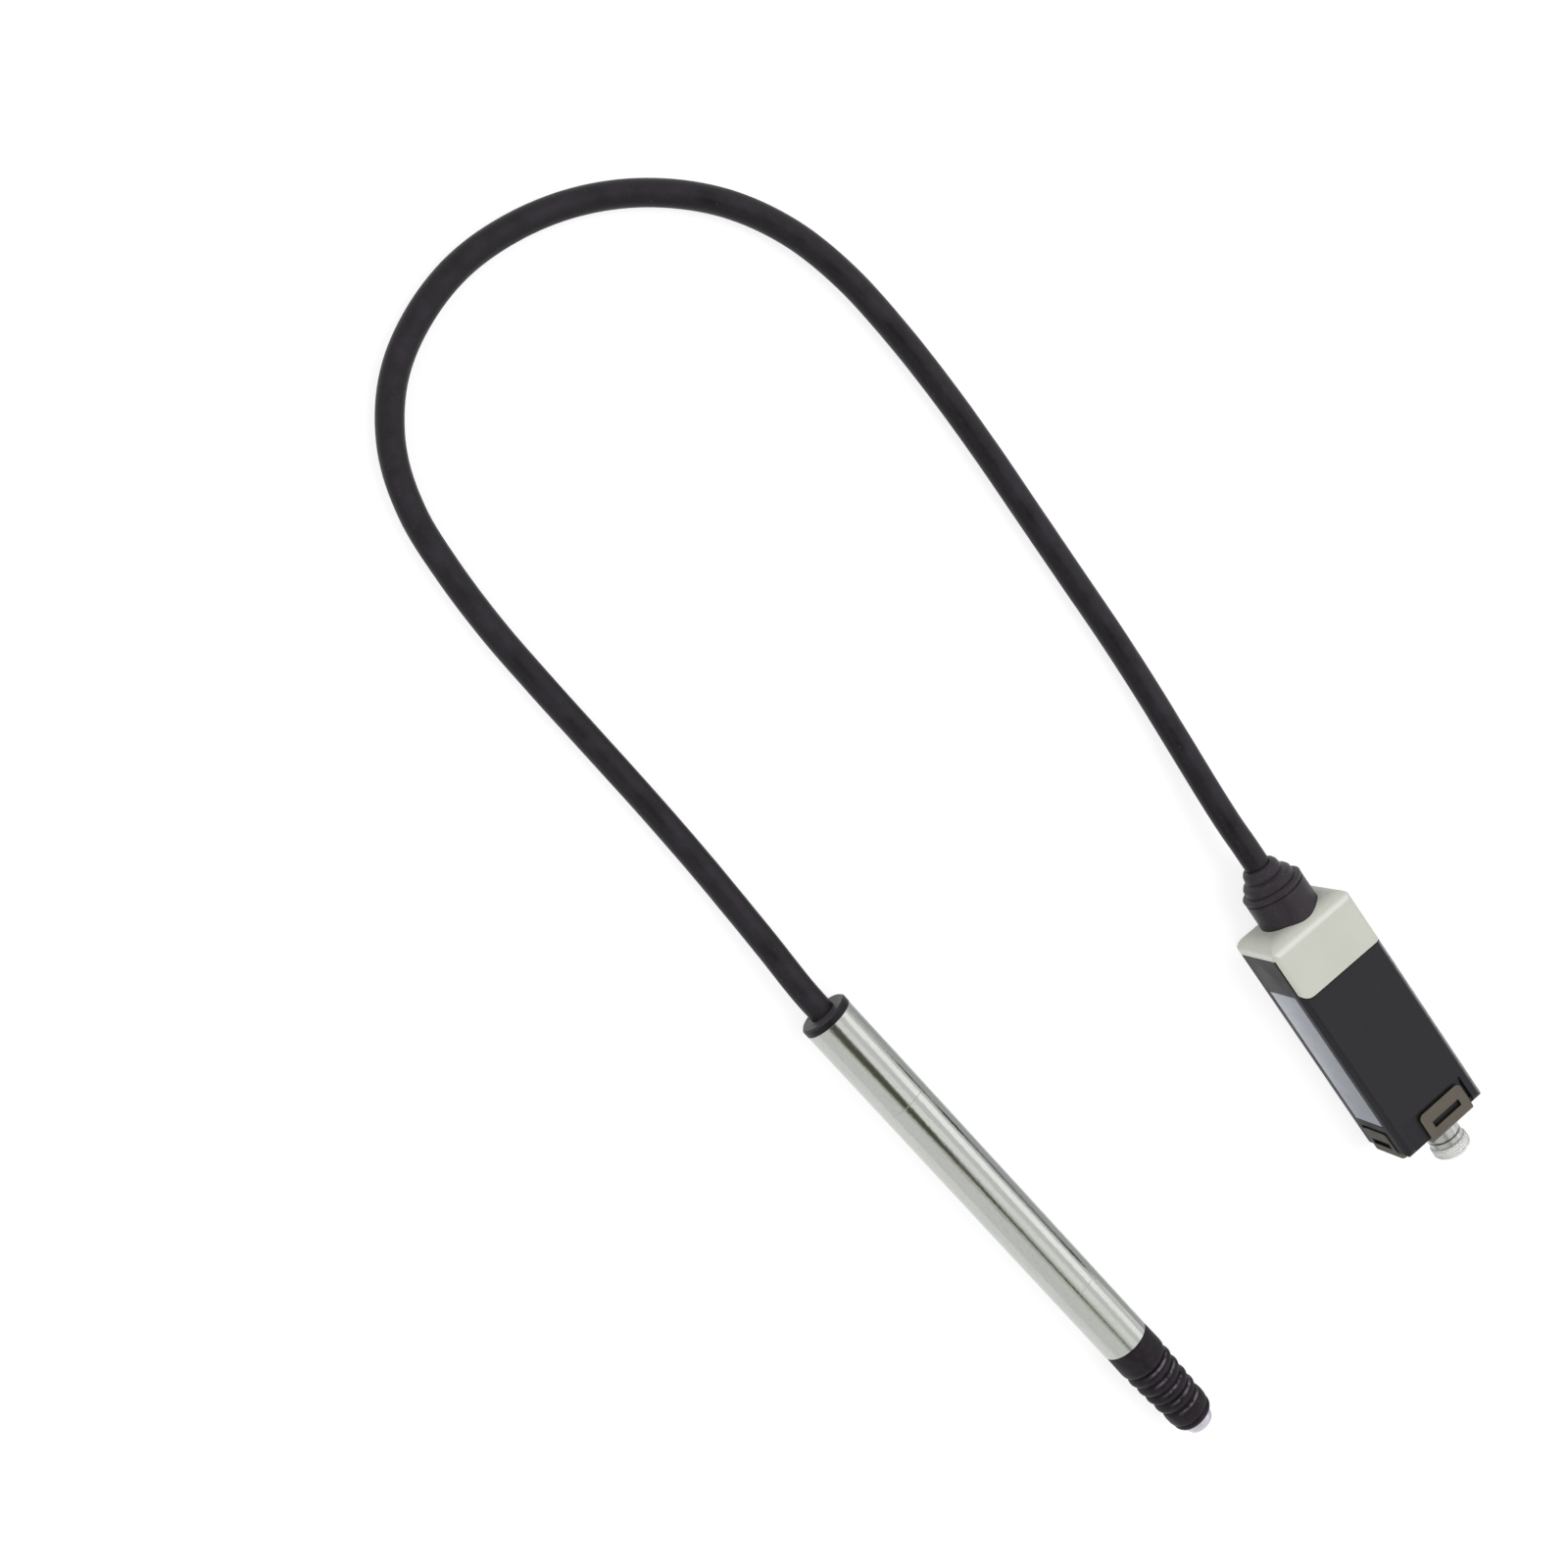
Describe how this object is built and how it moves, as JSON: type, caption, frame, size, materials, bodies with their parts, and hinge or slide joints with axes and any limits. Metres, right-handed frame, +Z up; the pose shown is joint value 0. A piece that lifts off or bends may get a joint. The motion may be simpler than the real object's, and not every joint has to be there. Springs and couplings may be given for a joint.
{
  "type": "displacement sensor",
  "caption": "Pencil displacement sensor: round steel stem with sprung spindle and rubber boot, cabled to a small in-line relay box with a plugged round port.",
  "frame": {"origin": "on the stem's axis, at the middle of its 40 mm centre tube", "axes": "+X along the stem towards the contact tip, +Z up from the surface that the object lies on, which is 4 mm below the origin"},
  "size_m": [0.2028, 0.0812, 0.0117],
  "materials": {
    "stem_steel": "satin stainless steel, fine grinding lines round the tube",
    "bush_rubber": "smooth black rubber",
    "board_green": "glass-fibre board with green lacquer",
    "wire_white": "insulated leads",
    "enamelled_copper": "enamelled copper wire",
    "enamelled_copper_dark": "enamelled copper wire, darker enamel",
    "former_plastic": "moulded coil former",
    "shield_iron": "soft iron shield, dull",
    "brass": "turned brass",
    "spring_steel": "spring steel",
    "acetal": "natural acetal",
    "hard_steel": "hardened and ground steel",
    "rod_steel": "non-magnetic steel rod",
    "core_ferrite": "dark nickel-iron core",
    "boot_rubber": "black rubber with a faint purple cast, slightly dusty",
    "tip_metal": "pale hard metal, ground",
    "cable_jacket": "smooth black jacket, satin",
    "gland_plastic": "black moulded gland",
    "cap_plastic": "pale warm grey moulding, fine grain",
    "housing_plastic": "charcoal moulding, fine grain",
    "label_silver": "bare silver foil label",
    "header_plastic": "natural moulded header",
    "chip_plastic": "black package",
    "capacitor_yellow": "dipped tantalum capacitors",
    "pot_blue": "blue trimming resistor",
    "port_metal": "plated brass",
    "insert_plastic": "black insulating insert",
    "contact_gold": "gold-plated contacts",
    "seal_rubber": "black sealing washer",
    "clear_cap": "clear soft plastic, milky at the ribs",
    "clip_steel": "folded sheet with a warm grey oxide finish"
  },
  "bodies": {
    "case": {"rear_sleeve": "stem_steel", "main_tube": "stem_steel", "nose_sleeve": "stem_steel", "cable_bush": "bush_rubber", "terminal_disc": "board_green", "lead_wires": "wire_white", "coil_leads": "enamelled_copper", "coil_bobbin": "former_plastic", "primary_winding": "enamelled_copper", "secondary_windings": "enamelled_copper_dark", "shield_tube": "shield_iron", "spring_seat": "brass", "return_spring": "spring_steel", "guide_sleeve": "acetal", "stop_washer": "spring_steel", "guide_bush": "hard_steel", "boot": "boot_rubber", "cable": "cable_jacket", "gland": "gland_plastic", "end_cap": "cap_plastic", "housing": "housing_plastic", "side_label": "label_silver", "amplifier_board": "board_green", "cable_header": "header_plastic", "port_header": "header_plastic", "signal_chip": "chip_plastic", "capacitors": "capacitor_yellow", "trim_pot": "pot_blue", "board_wires": "wire_white", "port_wires": "wire_white", "port_body": "port_metal", "port_insert": "insert_plastic", "port_contacts": "contact_gold", "port_nut": "port_metal", "port_seal": "seal_rubber", "port_cap": "clear_cap", "fixing_clip": "clip_steel"},
    "ball_guide": {"ball_cage": "brass", "cage_balls": "hard_steel"},
    "plunger": {"spindle": "hard_steel", "stop_collar": "brass", "guide_pin": "hard_steel", "core_rod": "rod_steel", "core": "core_ferrite", "contact_tip": "tip_metal"}
  },
  "joints": [
    {"name": "spindle_slide", "type": "slide", "parent": "case", "child": "plunger", "axis": [-1, 0, 0], "range_m": [0, 0.005], "stiffness_N_per_m": 60, "springref_m": -0.012, "deforming": ["return_spring", "boot"]},
    {"name": "cage_roll", "type": "slide", "parent": "case", "child": "ball_guide", "axis": [-1, 0, 0], "range_m": [0, 0.0025]}
  ],
  "couplings": [
    {"joint": "cage_roll", "follows": "spindle_slide", "ratio": 0.5}
  ]
}
